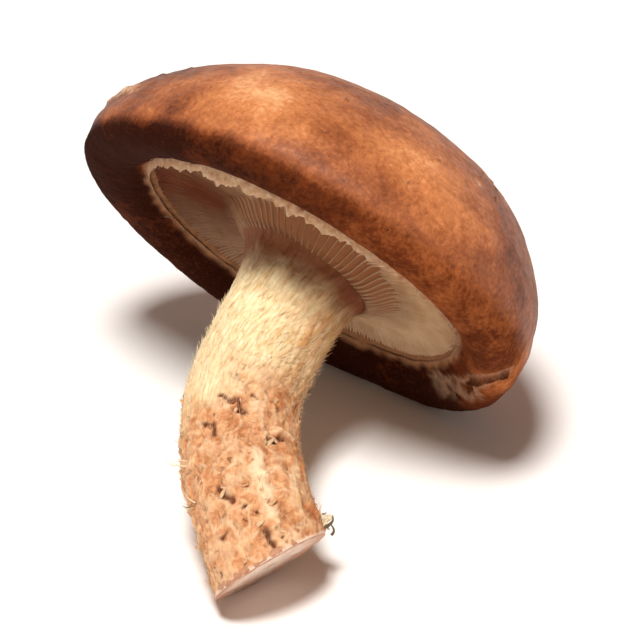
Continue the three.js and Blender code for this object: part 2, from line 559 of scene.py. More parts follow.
def stem_finish(name, grit):
    """The stem's look, with its grit's strength as bump."""
    stem = Finish(name, 0.8, 0.3, 0.25, (1, 0.6, 0.3))
    own = stem.where()
    low = stem.value("low")
    patch = stem.noise(own, 0.42, 4, 0.6, 0.6)
    # Noise drawn out along the fibres.
    run = stem.node("Mapping", {"Vector": stem.where("run"), "Scale": (2.6, 2.6, 0.55)}).outputs["Vector"]
    fine = stem.noise(run, 1.0, 5, 0.62)
    cream = stem.ramp(
        fine,
        (0.3, colour(206, 164, 112)),
        (0.5, colour(238, 216, 168)),
        (0.76, colour(250, 240, 206)),
    )
    peach = stem.ramp(
        stem.noise(own, 0.95, 5, 0.65, 0.8),
        (0.26, colour(156, 94, 50)),
        (0.41, colour(202, 140, 92)),
        (0.56, colour(228, 176, 130)),
        (0.74, colour(248, 216, 174)),
    )
    stem.base = stem.blend(stem.swung(low, patch, 1.3, True), cream, peach)
    tan = stem.ramp(stem.noise(own, 1.7, 4, 0.6, 0.5), (0.56, 0.0), (0.7, 1.0))
    stem.coat(stem.times(tan, stem.times(low, 0.5)), colour(178, 110, 60))
    # Paler on the ridges: partly the stem's cream felt, partly painted highlight.
    stem.coat(stem.times(stem.value("ridge"), 0.7), colour(252, 236, 200))
    # Painted shade in the pits, grooves and hollows, and a few darker scales.
    stem.coat(stem.value("pit"), colour(104, 52, 22))
    # Painted shade on one side of the stem, and a browner tint low on the other.
    stem.coat(stem.value("tan"), colour(206, 160, 116), "MULTIPLY")
    # Painted shade under the cap, with a brown tint, at the top of the stem.
    stem.coat(stem.value("top"), colour(136, 80, 46), "MULTIPLY")
    stem.coat(stem.value("cut"), colour(238, 200, 176))
    stem.coat(stem.value("dark"), colour(46, 36, 20))
    return stem.done((stem.noise(own, 2.2, 5, 0.6), grit, 0.3), (fine, 0.4, 0.2))


def cut_finish():
    cut = Finish("cut_flesh", 0.6, 0.4, 0.3, (1, 0.6, 0.4))
    own = cut.where()
    cut.base = cut.ramp(
        cut.noise(own, 0.5, 5, 0.6),
        (0.3, colour(222, 184, 160)),
        (0.55, colour(243, 217, 200)),
        (0.75, colour(250, 236, 222)),
    )
    strings = cut.ramp(cut.noise(own, 2.4, 4, 0.6), (0.55, 0.0), (0.72, 0.55))
    cut.coat(strings, colour(186, 132, 96))
    rim = cut.ramp(cut.value("rim"), (0.55, 0.0), (1.0, 0.85))
    cut.coat(rim, colour(176, 116, 74))
    return cut.done((cut.noise(own, 3.2, 4), 0.4, 0.15))


SKIN, GILLS, VEIL, CUT = skin_finish(), gill_finish(), veil_finish(), cut_finish()
STEM, SCALES = stem_finish("stem", 0.35), stem_finish("stem_scales", 0.15)

# ---- The cap: its skin from the crown to the lip, then the flesh behind the gills.

CAP_COLUMNS = 640
SKIN_ROWS = 140
CEILING = 4.4  # the height of the flesh above the gills
# Rings where the lip turns up inside, as distances inward and upward.
LIP_TURN = ((0.35, 0.1), (0.6, 0.55), (0.75, 1.4), (0.9, 2.6), (1.6, 3.8))
FLESH_RADIUS = 17.5
# Rings of the flesh between the gills, as radius and height above the gills' edges.
WEB = ((16.2, 3.0), (14.8, 2.0), (13.4, 1.1), (12.0, 0.5), (10.8, 0.2), (9.4, 0.15), (8.0, 0.15))
WEB_END = 3.0
# Damage along paths: a crack and a cottony tear on the right, and a peeled strip on the left.
CRACK = ((18.5, 13.2, -3.6), (20.8, 11.2, -4.0), (23.3, 9.2, -3.9), (25.6, 8.2, -2.9))
TORN = ((10.4, 19.0, -2.8), (13.9, 17.5, -3.3), (17.9, 15.1, -3.9))
LEFT_TEAR = ((-18.2, -22.0, 5.2), (-20.9, -20.3, 5.2), (-22.8, -18.2, 4.0))
# Pale flecks, as place and size.
FLECKS = (((17.6, 6.8, -0.9), 0.8), ((24.3, 5.0, 8.7), 0.4), ((20.0, -7.2, 12.4), 0.5))
LONE_PIT = ((19.4, -18.1, 5.4), 0.45, 0.35)  # place, radius and depth
# Groups of small pits, as angle, radius, count and spread.
PIT_GROUPS = (
    (60, 19.0, 10, 3.2),
    (150, 14.0, 7, 2.2),
    (195, 19.0, 6, 2.2),
    (20, 13.0, 5, 2.0),
    (95, 24.0, 4, 2.0),
)
SCATTERED_PITS = 34
# Painted highlights and painted shade on the skin, as place, size and change of tone: lighter on the near
# top and towards the right, darker on the left.
PAINTED_LIGHT_PATCHES = (
    ((-2.0, -25.6, 7.4), 7.0, 0.34),
    ((4.0, -25.6, 7.2), 6.0, 0.2),
    ((17.0, -18.0, 8.0), 5.0, 0.2),
    ((21.7, -13.0, 8.5), 6.5, 0.26),
    ((-17.0, -21.5, 2.5), 8.0, -0.06),
    ((-21.5, -16.5, 5.5), 7.0, -0.16),
    ((24.5, 9.0, -3.0), 6.0, 0.2),
)


def even_rows(section, count):
    """Places along the section's curve that divide its length evenly."""
    at = np.linspace(CROWN_AT, 1, 800)
    walk = walked(spline(section[:1], at)[:, 0])
    return np.interp(np.linspace(0, walk[-1], count + 1)[1:], walk, at)


def skin_tone_and_light(own, radius, angle):
    """How light the skin is, 0 to 1, in large patches: its own tone, with painted highlights and painted
    shade.
    """
    tone_and_light = 0.47 + 0.13 * noise(own, 13, 31) + 0.11 * noise(own, 5.5, 32)
    share = radius / CAP_RADIUS
    for spot, size, lift in PAINTED_LIGHT_PATCHES:
        tone_and_light += lift * mark(own, spot, size)
    # Painted shade on the right side, towards the rim.
    tone_and_light -= 0.12 * bump(angle_gap(angle, 5), 0.4) * smoothstep(0.5, 0.9, share)
    tone_and_light -= 0.1 * bump(share, 0.55)
    # Painted shade under the rolled margin, less of it on one side.
    light_side = bump(angle_gap(angle, 352), 0.95)
    fold = 1.1 + 0.8 * noise(own, 7, 33)
    tone_and_light -= (0.5 - 0.48 * light_side) * smoothstep(fold, fold - 2.2, own[..., 2])
    return tone_and_light


def cap_pits():
    """The pits on the skin, as place, radius and depth. A random one's place is seen from above."""
    rng = np.random.default_rng(7)
    drawn = []
    for angle, radius, count, spread in PIT_GROUPS:
        for _ in range(count):
            turn = radians(angle) + rng.normal() * spread / radius
            drawn.append((turn, radius + rng.normal() * spread, rng.uniform(0.35, 0.95)))
    for _ in range(SCATTERED_PITS):
        turn, reach = rng.uniform(0, 2 * pi), 26.5 * sqrt(rng.uniform(0.01, 1))
        drawn.append((turn, reach, rng.uniform(0.3, 0.5)))
    pits = [((reach * cos(turn), reach * sin(turn)), size, 0.55 * size) for turn, reach, size in drawn]
    return [LONE_PIT, *pits]


def skin_relief(base, angle, height, walk):
    """The skin's rise above its plain surface, and its dark and pale marks."""
    rise = 0.24 * noise(base, 15, 1) + 0.13 * noise(base, 6.5, 2)
    rise += 0.06 * (noise(base, 2.6, 3) + noise(base, 1.3, 4) / 1.7) + 0.022 * noise(base, 0.95, 5)
    # Faint creases run round the rolled margin's under side.
    creases = np.stack(np.broadcast_arrays(angle * 26, walk * 30, 0 * height), -1)
    rise += smoothstep(-0.2, -1.6, height) * 0.05 * noise(creases, (0.9, 2.5, 1), 6)
    rise *= smoothstep(1.0, 0.9, walk) * 0.85 + 0.15

    ragged = base + 0.5 * stirred(base, 1.1, 11)
    dark, pale = np.zeros(height.shape), np.zeros(height.shape)
    for spot, size, depth in cap_pits():
        gap = norm(ragged[..., : len(spot)] - np.array(spot))
        if len(spot) == 2:
            gap = np.where(height > 0.5, gap, 9)
        hole, rim = bump(gap, size * 0.75), bump(gap - size * 1.25, size * 0.4)
        rise += 0.35 * depth * rim - depth * hole
        # Painted shade inside the pits.
        dark = np.maximum(dark, smoothstep(0.35, 0.85, hole) * (0.9 if size > 0.5 else 0.6))
        pale = np.maximum(pale, rim * (0.4 if size > 0.7 else 0.08))

    slit = off_line(base + 0.35 * (ragged - base), CRACK)
    rise += 0.22 * bump(slit - 0.7, 0.4) - 0.75 * bump(slit, 0.32)
    # Painted shade in the crack.
    dark = np.maximum(dark, bump(slit, 0.36))
    pale = np.maximum(pale, 0.35 * bump(slit - 0.75, 0.35))
    cotton = smoothstep(2.3, 0.9, off_line(ragged, TORN))
    rise += cotton * (0.35 + 0.3 * noise(base, 0.8, 14) + 0.25 * noise(base, 1.7, 15))
    pale = np.maximum(pale, 0.38 * cotton * smoothstep(-0.35, 0.25, noise(base, 1.5, 16) + 0.1))
    for spot, size in FLECKS:
        rise += 0.3 * mark(ragged, spot, size)
        pale = np.maximum(pale, mark(ragged, spot, size * 0.9))
    tear = off_line(ragged, LEFT_TEAR) + 0.9 * noise(base, 1.6, 18) + 0.5 * noise(base, 0.7, 19)
    peel = smoothstep(1.5, 0.5, tear)
    rise -= peel * (0.3 + 0.3 * noise(base, 0.9, 17))
    pale = np.maximum(pale, peel * (0.65 + 0.5 * noise(base, 0.8, 20)))
    return rise, dark, pale


def inner_rings(angle, uneven):
    """The rings inside the lip: up to the flesh above the gills, and along it to the axis."""
    lip_radius, lip_height = lip(angle)
    rings = [(lip_radius - inward + 0.3 * uneven, lip_height + up) for inward, up in LIP_TURN]
    rings.append((FLESH_RADIUS, CEILING))
    rings += [(reach, gill_edge(reach, angle) + above) for reach, above in WEB]
    rings.append((WEB_END, CEILING))
    return np.array([around(radius, height, angle) for radius, height in rings])


def make_cap():
    angle = round_turn(CAP_COLUMNS)
    sections = skin_sections(angle)
    section = spline(sections, even_rows(sections, SKIN_ROWS))
    radius, height = section[..., 0], section[..., 1]
    base = around(radius, height, angle[None], skin_fade)
    normal = -grid_normals(base)
    walk = np.linspace(0, 1, SKIN_ROWS)[:, None]
    rise, dark, pale = skin_relief(base, angle[None], height, walk)
    uneven = noise(base[-1], 1.2, 21) * 0.22 + noise(base[-1], 3.5, 22) * 0.3
    edge = smoothstep(0.9, 1, walk) * uneven * 0.7
    outer = base + normal * (rise + edge)[..., None]
    inner = inner_rings(angle, uneven)
    rows, columns = len(outer) + len(inner), CAP_COLUMNS
    tips = [[0, 0, CROWN_HEIGHT + rise[0].mean()], [0, 0, CEILING + 0.5]]

    def whole(values, inner_value, tip_values):
        """Values for the skin's grid, the inner rings and the two points at the ends."""
        return np.concatenate([values.ravel(), np.full(inner[..., 0].size, inner_value), tip_values])

    web = (np.arange(rows) >= SKIN_ROWS + len(LIP_TURN)) * 1.0
    attributes = {
        "own": np.concatenate([base.reshape(-1, 3), inner.reshape(-1, 3), tips]),
        "tone_and_light": whole(skin_tone_and_light(base, radius, angle[None]), 0.5, [0.4, 0.5]),
        "dark": whole(dark, 0.0, [0, 0]),
        "pale": whole(pale, 0.0, [0, 0]),
        "inside": whole(smoothstep(0.98, 1.0, walk + 0.008 * noise(base, 1.4, 23)), 1.0, [0, 1]),
        "under": whole(smoothstep(1.5, -1.0, height), 1.0, [0, 1]),
        "web": np.concatenate([np.repeat(web, columns), [0, 1]]),
    }
    flat = np.concatenate([outer.reshape(-1, 3), inner.reshape(-1, 3), tips])
    build("cap", flat, closed_faces(rows, columns), SKIN, attributes)


# ---- The gills: thin plates that hang from the flesh between the lip and the stem.

GILL_COUNT = 272
GILL_STEPS = 26
GILL_THICKNESS = 0.27
GILL_SHADES = (1.0, 0.55, 0.0, 0.0, 0.55, 1.0)  # how deep in shade, round a plate's section
INNER_ENDS = (8.0, 14.6, 9.8, 15.8)  # the plates end in turn at the stem, or short of it


def gill_edge(radius, angle):
    """The height of the gills' lower edges, as the CAD's gill surface has it."""
    lip_radius, lip_height = lip(angle)
    out = smoothstep(lip_radius - 2.6, lip_radius - 0.4, radius) * 0.5
    drop = smoothstep(11.8, 8.2, radius) * 2.1
    return lip_height + GILL_LIFT - out - drop


def gill_plate(turn, inner, short, half, shift):
    """The points of one plate, in loops of its section from the lip to its inner end. shift moves
    its noise away from that of the other plates."""
    lip_radius, _ = lip(turn)
    along = np.linspace(lip_radius - 0.25, inner, GILL_STEPS)
    own = np.stack([along * cos(turn), along * sin(turn), 0 * along + shift], -1)
    sway = 0.16 * noise(own, 3.6, 41) + 0.05 * noise(own, 1.1, 42)
    sway *= smoothstep(0, 1.5, lip_radius - 0.25 - along)
    edge = gill_edge(along, turn) + 0.09 * noise(own, 0.9, 43) + 0.14 * noise(own, 4.5, 44)
    if short:
        edge = edge + 2.6 * smoothstep(2.4, 0, along - inner) ** 1.5
    edge = np.minimum(edge, CEILING - 0.3)
    top = np.full_like(edge, CEILING + 0.2)
    levels = ((top, half * 1.25), (mix(edge, top, 0.35), half), (edge, half * 0.42))
    reach = along * (1 + (outline(turn) - 1) * gill_fade(along))
    loop = []
    for height, side in (*levels, *((height, -side) for height, side in levels[::-1])):
        across = sway * smoothstep(CEILING, CEILING - 3, height) + side
        x = reach * cos(turn) - across * sin(turn)
        y = reach * sin(turn) + across * cos(turn)
        loop.append(np.stack([x, y, height], -1))
    return np.stack(loop, 1).reshape(-1, 3)


def make_gills():
    rng = np.random.default_rng(19)
    size = len(GILL_SHADES)
    points, faces = [], []
    for k in range(GILL_COUNT):
        turn = (k + rng.uniform(-0.16, 0.16)) * 2 * pi / GILL_COUNT
        short = k % 4 > 0
        inner = INNER_ENDS[k % 4] + rng.uniform(-0.7, 0.7) * short
        half = GILL_THICKNESS / 2 * rng.uniform(0.85, 1.15)
        points.append(gill_plate(turn, inner, short, half, k * 0.3))
        start = k * GILL_STEPS * size
        faces += ring_faces(GILL_STEPS, size, start)
        last = start + (GILL_STEPS - 1) * size
        faces += [list(range(start, start + size)), list(range(last, last + size))[::-1]]
    flat = np.concatenate(points)
    turn = np.arctan2(flat[:, 1], flat[:, 0])
    reach = norm(flat[:, :2])
    # Painted shade on the gills: on one side, and towards the stem, most of all on the near side.
    painted_gill_shade = bump(angle_gap(turn, 205), 1.15) * smoothstep(6, 13, reach + 2 * noise(flat, 6, 45))
    collar_shade = 0.42 + 0.33 * bump(angle_gap(turn, 275), 0.8)
    painted_gill_shade = np.maximum(painted_gill_shade, collar_shade * smoothstep(15.5, 10, reach + noise(flat, 3, 46)))
    depth = np.tile(GILL_SHADES, GILL_COUNT * GILL_STEPS)
    build("gill_plates", flat, faces, GILLS, {"own": flat, "depth": depth, "painted_gill_shade": painted_gill_shade})


# ---- The stem: a felted, scaly tube with pits, denser towards its cut end.

STEM_COLUMNS = 300
STEM_ROWS = 316
SHADED_SIDE = (1.0, 0.1, -0.2)  # the side of the stem with painted shade, browner, in the row frame
STEM_TOP = -4.0  # it runs up between the gills into the flesh
STEM_TWIST = 0.03  # how its fibres wind round it, in radians per millimetre
# Pits that stand out, as place, radius and depth.
STEM_PITS = (
    ((7.6, -8.7, -23.1), 0.8, 0.8),
    ((8.0, -7.8, -21.2), 0.6, 0.5),
    ((6.2, -9.2, -22.2), 0.55, 0.45),
    ((15.1, -8.9, -34.2), 0.6, 0.6),
    ((16.8, -8.4, -34.1), 0.55, 0.55),
    ((20.7, -6.9, -35.5), 0.45, 0.4),
    ((20.9, -7.4, -38.0), 0.45, 0.45),
    ((18.8, -0.7, -34.3), 0.6, 0.4),
    ((10.0, -5.4, -20.7), 0.5, 0.4),
    ((15.5, -6.5, -41.8), 0.5, 0.4),
    ((14.3, -8.1, -38.2), 0.7, 0.35),
)
# Grooves, as half width, depth and the points of the path.
STEM_GROOVES = (
    (0.5, 1.0, (18.7, -8.0, -35.6), (19.4, -7.8, -36.4), (20.4, -7.5, -36.9)),
    (0.5, 0.7, (10.9, -9.1, -33.3), (12.2, -9.1, -33.8), (13.6, -9.0, -34.0)),
    (0.42, 0.5, (5.1, -9.2, -26.3), (6.1, -9.5, -26.4), (7.0, -9.5, -27.4)),
    (0.42, 0.65, (12.5, -7.6, -25.6), (12.5, -6.9, -24.7), (12.6, -5.6, -24.2), (12.9, -4.4, -24.2)),
    (0.4, 0.5, (4.6, -9, -22.6), (6, -9.1, -22.6), (6.9, -9, -22.2), (7.7, -8.5, -23.3), (8.5, -8.2, -23.6)),
)
# Raised folds, as half width, height and the points of the path.
STEM_FOLDS = (
    (0.45, 0.5, (12.1, -8.3, -25.9), (11.9, -7.2, -24.2), (12.0, -5.6, -23.5), (12.6, -4.0, -23.3)),
    (1.1, 0.38, (12.6, -8.4, -27.4), (14.0, -8.3, -29.6), (16.2, -8.0, -31.4), (18.0, -7.6, -33.4)),
    (0.8, 0.3, (14.9, -4.4, -26.0), (16.6, -5.2, -28.6), (19.0, -5.6, -31.0)),
)


def stem_surface(s, angle):
    """The stem's rise above its plain surface, its places in the own frame and along the fibres,
    and its masks."""
    s, angle = np.broadcast_arrays(np.asarray(s, float), np.asarray(angle, float))
    own, _, _ = stem_place(s, angle)
    turn = angle + STEM_TWIST * s
    run = np.stack([STEM_RADIUS * np.cos(turn), STEM_RADIUS * np.sin(turn), s], -1)
    upper = smoothstep(24, 17, s + 3 * noise(own, 5, 50))
    low = smoothstep(17, 31, s + 4.5 * noise(own, 5.5, 51) + 2.5 * bump(angle_gap(angle, 330), 0.8))
    buried = smoothstep(3.5, 0.5, s)

    fibre = noise(run, (0.75, 0.75, 2.6), 52) + 0.6 * noise(run, (0.4, 0.4, 1.5), 53)
    rise = 0.13 * fibre * (1 - 0.7 * buried)
    rise += upper * 0.12 * noise(own, 2.6, 54) * (1 - buried)
    stir = stirred(own, 1.7, 61)
    clump = 1 - 2 * np.abs(noise(own + 0.8 * stir, 2.6, 55))
    crumb = 1 - 2 * np.abs(noise(own + 0.3 * stir, 1.2, 56))
    rise += (0.2 + 0.8 * low) * (0.28 * clump + 0.12 * crumb) * (1 - buried)
    rise += low * 0.3 * noise(own, 4.5, 57)
    rise += 0.05 * noise(own, 0.5, 58)
    # Paler on the ridges: partly the stem's cream felt, partly painted highlight.
    ridge = smoothstep(0.35, 0.95, clump) * 0.5 * (0.3 + 0.7 * low)

    ragged = own + 0.4 * stirred(own, 0.9, 71)
    # Painted shade in the pits, grooves and hollows.
    pit = np.zeros(s.shape)
    for spot, size, depth in STEM_PITS:
        hole = mark(ragged, spot, size * 0.8)
        rise -= depth * hole
        pit = np.maximum(pit, smoothstep(0.25, 0.8, hole))
    for width, depth, *path in STEM_GROOVES:
        groove = bump(off_line(ragged, path), width * 1.25)
        rise -= depth * groove
        pit = np.maximum(pit, smoothstep(0.35, 0.9, groove) * 0.95)
    for width, height, *path in STEM_FOLDS:
        fold = bump(off_line(ragged, path), width)
        rise += height * fold
        ridge = np.maximum(ridge, 0.9 * smoothstep(0.3, 0.9, fold))
    # Small random pits, most of them low on the stem.
    holes = smoothstep(0.58, 0.86, noise(own + 0.3 * stir, 1.15, 59)) * (0.2 + 0.8 * low) * (1 - buried)
    rise -= 0.4 * holes
    pit = np.maximum(pit, np.maximum(holes * 0.7, smoothstep(0.25, 0.7, -clump) * low * 0.3))
    from_cut = STEM_LENGTH - s
    cut = smoothstep(0.55, 0.15, from_cut + 0.25 * noise(own, 1.4, 60))
    rise *= 0.35 + 0.65 * smoothstep(0.2, 1.2, from_cut)
    # Darker and browner near the gills: partly a brown tint, partly painted shade under the cap.
    top = 0.95 * smoothstep(8.0, 3.0, s + 1.2 * noise(own, 2.4, 63))
    # Painted shade on the side away from the light; low on the other side, a browner tint.
    facing = unit(own - line_at(s, line_points)) @ (rest.T @ np.array(SHADED_SIDE))
    tan = smoothstep(-0.1, 0.7, facing + 0.3 * noise(run, (1.2, 1.2, 4), 64)) * (0.62 + 0.4 * fibre)
    tan += 0.35 * low * smoothstep(0.55, -0.5, facing + 0.5 * noise(own, 4, 65))
    masks = {"low": low, "pit": pit * (1 - cut), "ridge": ridge, "cut": cut, "top": top}
    return rise, own, run, masks | {"tan": np.clip(tan, 0, 0.9)}


def make_stem():
    """Builds the stem, and gives the points of its cut edge."""
    s = np.concatenate([[STEM_TOP, -2.5, -1.2], np.linspace(-0.4, STEM_LENGTH, STEM_ROWS - 3)])[:, None]
    angle = round_turn(STEM_COLUMNS)[None]
    rise, own, run, masks = stem_surface(s, angle)
    points, _, _ = stem_place(s, angle, rise)
    points[..., 2] -= np.minimum(s, 0)  # above the gills the stem runs straight up
    tips = [points[0].mean(0), points[-1].mean(0) - cut_normal * 0.6]

    def whole(values, ends=(0.0, 0.0)):
        return np.concatenate([values.ravel(), ends])

    attributes = {key: whole(values) for key, values in masks.items()}
    attributes["cut"] = whole(masks["cut"], (0, 1))
    attributes["dark"] = whole(np.zeros(rise.shape))
    attributes["own"] = np.concatenate([own.reshape(-1, 3), tips])
    attributes["run"] = np.concatenate([run.reshape(-1, 3), tips])
    flat = np.concatenate([points.reshape(-1, 3), tips])
    build("stem", flat, closed_faces(STEM_ROWS, STEM_COLUMNS), STEM, attributes)
    return points[-1]


# ---- Loose scales and hairs on the stem.

MASKS = ("low", "pit", "ridge", "dark", "cut", "top", "tan")
HAIR_COUNT = 5200
SCALE_COUNT = 620
# Long loose hairs on the left of the stem, as radius, a mask and its strength, start, and steps
# leftward and upward in the picture.
LOOSE_HAIRS = (
    (0.11, "ridge", 0.6, (5.1, -7.8, -31.3), (0.7, -0.1), (0.7, 0.15), (0.6, -0.1), (0.5, 0.3), (0.3, 0.35)),
    (0.09, "ridge", 0.8, (5.0, -7.7, -30.9), (0.6, 0.2), (0.7, 0.1), (0.6, -0.15), (0.4, -0.3)),
    (0.08, "low", 1, (5.6, -7.8, -31.9), (0.5, -0.3), (0.6, 0.0), (0.5, 0.3)),
    (0.12, "ridge", 0.6, (7.9, -7.2, -35.1), (0.5, 0.2), (0.45, 0.4), (0.2, 0.5)),
    (0.11, "dark", 0.8, (7.9, -7.2, -35.4), (0.5, -0.2), (0.5, -0.1), (0.4, 0.2)),
    (0.14, "dark", 0.9, (15.2, -6.3, -41.6), (0.3, 0.1), (0.4, 0.3), (0.2, 0.3)),
)


class Strands:
    """Gathers many small scales and hairs into one mesh."""

    def __init__(self):
        self.points, self.faces, self.count = [], [], 0
        self.masks = {key: [] for key in MASKS}

    def add(self, block, faces, **masks):
        self.points.append(block)
        self.faces += [[self.count + i for i in face] for face in faces]
        self.count += len(block)
        for key in MASKS:
            self.masks[key].append(np.ones(len(block)) * masks.get(key, 0.0))

    def hair(self, path, radius, **masks):
        """A tapered strand along a path of points."""
        ahead = unit(np.gradient(path, axis=0) + 1e-9)
        side = unit(np.cross(ahead, (0.3, 0.5, 0.8)))
        up = np.cross(side, ahead)
        taper = radius * np.sqrt(np.linspace(1, 0.08, len(path)))[:, None]
        ring = [path + taper * (side * cos(turn) + up * sin(turn)) for turn in (0, 2.1, 4.2)]
        block = np.stack(ring, 1).reshape(-1, 3)
        last = len(block) - 1
        self.add(block, ring_faces(len(path), 3) + [[0, 1, 2], [last, last - 1, last - 2]], **masks)

    def scale(self, root, ahead, out, length, width, lift, curl, rng, **masks):
        """A thin curved scale that leaves the surface at its root and lifts towards its tip."""
        rows, columns = 5, 4
        across = unit(np.cross(ahead, out))
        u = np.linspace(0, 1, rows)[:, None]
        v = np.linspace(-1, 1, columns)[None]
        ragged = 1 + 0.3 * rng.uniform(-1, 1, (rows, columns))
        half = width / 2 * np.sin(pi * (0.22 + 0.66 * u)) * ragged
        rise = lift * length * u**1.6 + curl * width * (v**2 - 0.4) * (0.3 + u)
        reach = length * u * (1 + 0.18 * rng.uniform(-1, 1, (1, columns)))
        block = root + reach[..., None] * ahead + (v * half)[..., None] * across + rise[..., None] * out
        under = block - (0.11 - 0.06 * u + 0 * v)[..., None] * out
        size = rows * columns
        at = np.arange(size).reshape(rows, columns)
        faces = []
        for a, b in zip(at[:-1, :-1].ravel().tolist(), at[1:, :-1].ravel().tolist()):
            faces += [[a, a + 1, b + 1, b], [size + b, size + b + 1, size + a + 1, size + a]]
        edge = [*at[0], *at[1:, -1], *at[-1, -2::-1], *at[-2:0:-1, 0]]
        edge = [int(a) for a in edge]
        faces += [[a, size + a, size + b, b] for a, b in zip(edge, edge[1:] + edge[:1])]
        self.add(np.concatenate([block.reshape(-1, 3), under.reshape(-1, 3)]), faces, **masks)

    def build(self, name, slot, material):
        flat = np.concatenate(self.points)
        attributes = {key: np.concatenate(parts) for key, parts in self.masks.items()}
        build(name, flat, self.faces, material, attributes | {"own": flat, "run": flat})


def rooted(s, angle, sunk):
    """Where things grow from the stem: their roots, sunk below its surface, the directions out of
    it, up it towards the cap and across it, and its masks."""
    rise, _, _, masks = stem_surface(s, angle)
    root, out, along = stem_place(s, angle, rise - sunk)
    return root, out, -along, np.cross(out, along), masks


def stem_felt(hairs, rng):
    """Fine hairs that lie up the stem, towards the cap."""
    s = STEM_LENGTH * rng.uniform(0.07, 0.985, HAIR_COUNT)
    angle = rng.uniform(0, 2 * pi, HAIR_COUNT)
    root, out, up, across, masks = rooted(s, angle, 0.06)
    length = rng.uniform(0.5, 1.7, HAIR_COUNT) * mix(1.0, 0.7, masks["low"])
    lean = rng.normal(0.25, 0.3, HAIR_COUNT)
    u = np.linspace(0, 1, 5)[:, None]
    for k in range(HAIR_COUNT):
        ahead = up[k] * cos(lean[k]) + across[k] * sin(lean[k])
        lift = rng.uniform(0.02, 0.5) * (1.2 if s[k] > 10 else 0.6)
        bend = rng.normal(0, 0.28)
        path = root[k] + length[k] * (u * ahead + lift * u**1.5 * out[k] + bend * u**2 * across[k])
        tint = {key: masks[key][k] for key in ("low", "top", "tan")}
        ridge = rng.uniform(0.1, 0.9) * (1 - 0.5 * tint["low"])
        hairs.hair(path, rng.uniform(0.025, 0.055), ridge=ridge, **tint)


def stem_flaps(scales, rng):
    """Scales and torn flaps, most of them on the lower half."""
    s = STEM_LENGTH * (1 - 0.93 * rng.beta(1.25, 1.9, SCALE_COUNT))
    s = np.clip(s, 3.5, STEM_LENGTH - 0.4)
    angle = rng.uniform(0, 2 * pi, SCALE_COUNT)
    root, out, up, across, masks = rooted(s, angle, 0.1)
    lean = rng.normal(0, 1, SCALE_COUNT) * mix(0.35, 1.1, masks["low"])
    for k in range(SCALE_COUNT):
        tint = {key: masks[key][k] for key in ("low", "top", "tan")}
        ahead = up[k] * cos(lean[k]) + across[k] * sin(lean[k])
        length = rng.uniform(0.4, 1.0) * (1 + 0.3 * tint["low"])
        width = length * rng.uniform(0.35, 0.8)
        lift = rng.uniform(0.02, 0.24)
        if rng.uniform() < 0.1 * tint["low"]:
            lift *= 2.4
        tint["ridge"] = rng.uniform(0, 1) ** 1.5 * 0.8
        tint["pit"] = float(rng.uniform() < 0.1) * 0.55 * tint["low"]
        curl = rng.uniform(-0.25, 0.4)
        scales.scale(root[k], ahead, out[k], length, width, lift, curl, rng, **tint)


def make_strands():
    rng = np.random.default_rng(23)
    hairs, scales = Strands(), Strands()
    stem_felt(hairs, rng)
    stem_flaps(scales, rng)
    for radius, mask, strength, start, *steps in LOOSE_HAIRS:
        path = [np.array(start)]
        for leftward, rise in steps:
            path.append(path[-1] - rightward * leftward + upward * rise)
        places = np.arange(len(path))
        fine = read_rows(np.linspace(0, len(path) - 1, 3 * len(path)), places, np.array(path))
        fine[1:-1] = (fine[:-2] + 2 * fine[1:-1] + fine[2:]) / 4
        hairs.hair(fine, radius, **{mask: strength})
    scales.build("stem_scales", "stem", SCALES)
    hairs.build("stem_hairs", "stem", SCALES)


def make_tip_shred():
    """The shred that curls up from the cut edge on the right."""
    rng = np.random.default_rng(29)
    shred = Strands()
    root, _, along = stem_place(STEM_LENGTH - 0.9, radians(22), -0.1)
    lift = unit(0.75 * upward + 0.35 * rightward)
    for k in range(3):
        start = root - along * (0.5 * k) + 0.1 * rng.normal(size=3)
        ahead = unit(lift + 0.25 * rng.normal(size=3))
        shred.scale(start, ahead, rightward, 1.9 - 0.4 * k, 0.9, 0.35, 0.5, rng, ridge=0.5)
    u = np.linspace(0, 1, 7)[:, None]
    for k in range(4):
        start = root + 0.25 * rng.normal(size=3) + 0.35 * rightward
        path = start + (1.7 - 0.2 * k) * (u * lift + 0.4 * np.sin(2.6 * u + k) * rightward)
        shred.hair(path, 0.26 - 0.04 * k, dark=0.9 if k < 2 else 0.0, ridge=0.5)
    shred.build("tip_shred", "stem", SCALES)


# ---- The cut face at the end of the stem.

CUT_RINGS = 34


def make_cut(edge_ring):
    """Fills the ring at the stem's cut edge with a slightly hollow, grainy face."""
    centre = edge_ring.mean(0)
    arm = edge_ring - centre
    share = np.linspace(1.0, 0.0, CUT_RINGS + 1)[:-1, None] ** 0.9
    points = centre + share[..., None] * arm
    grain = 0.11 * noise(points, 1.9, 81) + 0.06 * noise(points, 0.7, 82) + 0.035 * noise(points, 0.35, 83)
    proud = 0.1 * bump(share - 0.93, 0.05) * (1 + noise(points, 1.3, 84))
    rise = grain * smoothstep(1.0, 0.9, share) + proud - 0.28 * (1 - share**2) + 0.02
    points = points + rise[..., None] * cut_normal
    back = centre + 0.97 * arm - cut_normal * 0.8
    tips = [centre - cut_normal * 0.8, centre - cut_normal * 0.28]
    flat = np.concatenate([back, points.reshape(-1, 3), tips])
    rim = np.repeat(np.concatenate([[1.0], share[:, 0]]), len(arm))
    attributes = {"own": flat, "rim": np.concatenate([rim, [0, 0]])}
    build("cut_face", flat, closed_faces(CUT_RINGS + 1, len(arm)), CUT, attributes)


# ---- The veil: cottony shreds along the lip.

VEIL_COLUMNS = 900
VEIL_HAIRS = 1100
VEIL_SIDE = 284  # the shreds hang longest on this side of the cap
VEIL_HANG = 1.9
# Half of the sheet's section, from its root to its hanging edge, as shares downward and inward.
VEIL_SECTION = ((-0.35, -0.35), (0.0, -0.12), (0.4, 0.06), (0.75, 0.24), (1.0, 0.42))
VEIL_EDGE = (1.03, 0.44)


